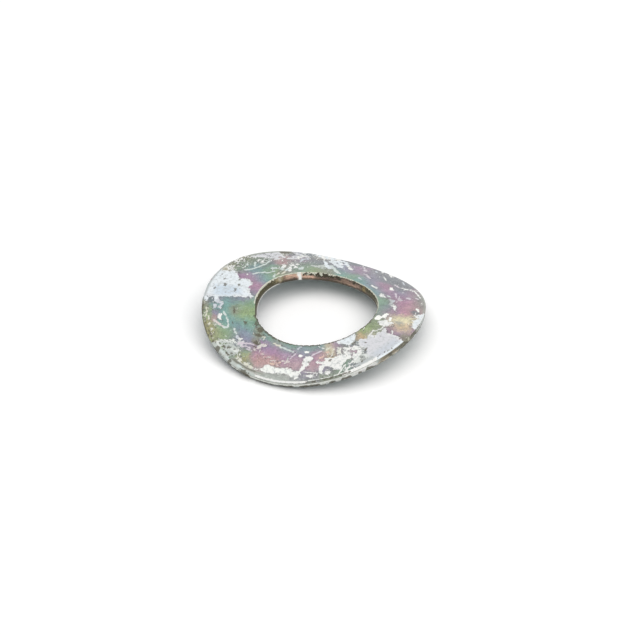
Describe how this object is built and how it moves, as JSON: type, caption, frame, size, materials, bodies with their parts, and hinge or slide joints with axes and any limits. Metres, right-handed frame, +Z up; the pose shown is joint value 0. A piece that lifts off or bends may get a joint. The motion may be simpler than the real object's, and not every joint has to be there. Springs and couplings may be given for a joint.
{
  "type": "curved spring washer",
  "caption": "Curved spring washer: a thin ring bent into one arch, with a round bore for a bolt and worn iridescent plating.",
  "frame": {"origin": "under the centre of the rim, on the surface the washer stands on", "axes": "+X along the crest of the arch, +Y across it, +Z up along the bore"},
  "size_m": [0.015, 0.0148, 0.0022],
  "materials": {
    "washer": "zinc plated with an iridescent chromate film, worn through to pale zinc in patches"
  },
  "bodies": {
    "root": {"washer": "washer"}
  },
  "joints": []
}
